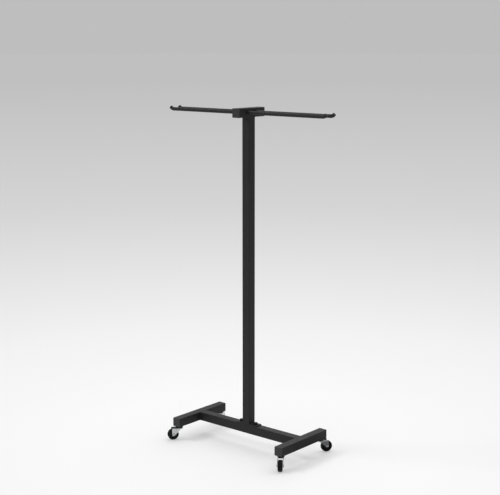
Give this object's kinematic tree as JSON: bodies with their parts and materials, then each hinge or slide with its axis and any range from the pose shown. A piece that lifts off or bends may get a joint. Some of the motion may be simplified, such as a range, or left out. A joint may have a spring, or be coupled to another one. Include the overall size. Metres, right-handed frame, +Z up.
{
  "type": "display stand",
  "caption": "Low rolling display stand: an H base of square tube on swivel casters, a square post and a short crossbar with upturned twin prongs on both sides.",
  "frame": {"origin": "on the floor, under the axis of the post", "axes": "+X along the prongs and the crossbeam to the right-hand pair, +Y from the front of the stand to the back along the feet, +Z up"},
  "size_m": [0.5554, 0.2392, 0.953],
  "materials": {
    "powder_coat": "satin black powder coat with a fine texture",
    "cap_plastic": "moulded black polyethylene, lightly grained",
    "black_steel": "black oxide",
    "zinc_plate": "bright zinc plate on pressed steel",
    "wheel_plastic": "moulded black nylon",
    "tyre_rubber": "smooth black rubber"
  },
  "bodies": {
    "stand": {"base_crossbeam": "powder_coat", "foot_tube_left": "powder_coat", "foot_tube_right": "powder_coat", "post_flange_plate": "powder_coat", "post_tube": "powder_coat", "head_crossbar": "powder_coat", "prong_left_front": "powder_coat", "prong_left_back": "powder_coat", "prong_right_front": "powder_coat", "prong_right_back": "powder_coat", "foot_cap_left_front": "cap_plastic", "foot_cap_left_back": "cap_plastic", "foot_cap_right_front": "cap_plastic", "foot_cap_right_back": "cap_plastic", "head_cap_front": "cap_plastic", "head_cap_back": "cap_plastic", "flange_bolt_left": "black_steel", "flange_bolt_right": "black_steel", "flange_washer_left": "black_steel", "flange_washer_right": "black_steel", "beam_nut_left": "zinc_plate", "beam_nut_right": "zinc_plate", "caster_stem_left_front": "zinc_plate", "stem_nut_left_front": "zinc_plate", "caster_cup_left_front": "black_steel", "caster_ball_ring_left_front": "zinc_plate", "caster_stem_right_front": "zinc_plate", "stem_nut_right_front": "zinc_plate", "caster_cup_right_front": "black_steel", "caster_ball_ring_right_front": "zinc_plate", "caster_stem_left_back": "zinc_plate", "stem_nut_left_back": "zinc_plate", "caster_cup_left_back": "black_steel", "caster_ball_ring_left_back": "zinc_plate", "caster_stem_right_back": "zinc_plate", "stem_nut_right_back": "zinc_plate", "caster_cup_right_back": "black_steel", "caster_ball_ring_right_back": "zinc_plate"},
    "caster_left_front": {"caster_fork_left_front": "zinc_plate", "caster_axle_left_front": "zinc_plate"},
    "wheel_left_front": {"wheel_core_left_front": "wheel_plastic", "wheel_tyre_left_front": "tyre_rubber"},
    "caster_right_front": {"caster_fork_right_front": "zinc_plate", "caster_axle_right_front": "zinc_plate"},
    "wheel_right_front": {"wheel_core_right_front": "wheel_plastic", "wheel_tyre_right_front": "tyre_rubber"},
    "caster_left_back": {"caster_fork_left_back": "zinc_plate", "caster_axle_left_back": "zinc_plate"},
    "wheel_left_back": {"wheel_core_left_back": "wheel_plastic", "wheel_tyre_left_back": "tyre_rubber"},
    "caster_right_back": {"caster_fork_right_back": "zinc_plate", "caster_axle_right_back": "zinc_plate"},
    "wheel_right_back": {"wheel_core_right_back": "wheel_plastic", "wheel_tyre_right_back": "tyre_rubber"}
  },
  "joints": [
    {"name": "caster_swivel_left_front", "type": "hinge", "parent": "stand", "child": "caster_left_front", "pos_m": [-0.1875, -0.0875, 0.03536], "axis": [0, 0, 1], "continuous": true},
    {"name": "wheel_roll_left_front", "type": "hinge", "parent": "caster_left_front", "child": "wheel_left_front", "pos_m": [-0.19811, -0.10265, 0.01586], "axis": [0.8192, -0.5736, 0], "continuous": true},
    {"name": "caster_swivel_right_front", "type": "hinge", "parent": "stand", "child": "caster_right_front", "pos_m": [0.1875, -0.0875, 0.03536], "axis": [0, 0, 1], "continuous": true},
    {"name": "wheel_roll_right_front", "type": "hinge", "parent": "caster_right_front", "child": "wheel_right_front", "pos_m": [0.19758, -0.10302, 0.01586], "axis": [0.8387, 0.5446, 0], "continuous": true},
    {"name": "caster_swivel_left_back", "type": "hinge", "parent": "stand", "child": "caster_left_back", "pos_m": [-0.1875, 0.0875, 0.03536], "axis": [0, 0, 1], "continuous": true},
    {"name": "wheel_roll_left_back", "type": "hinge", "parent": "caster_left_back", "child": "wheel_left_back", "pos_m": [-0.19502, 0.1044, 0.01586], "axis": [-0.9135, -0.4067, 0], "continuous": true},
    {"name": "caster_swivel_right_back", "type": "hinge", "parent": "stand", "child": "caster_right_back", "pos_m": [0.1875, 0.0875, 0.03536], "axis": [0, 0, 1], "continuous": true},
    {"name": "wheel_roll_right_back", "type": "hinge", "parent": "caster_right_back", "child": "wheel_right_back", "pos_m": [0.19675, 0.10352, 0.01586], "axis": [-0.866, 0.5, 0], "continuous": true}
  ]
}
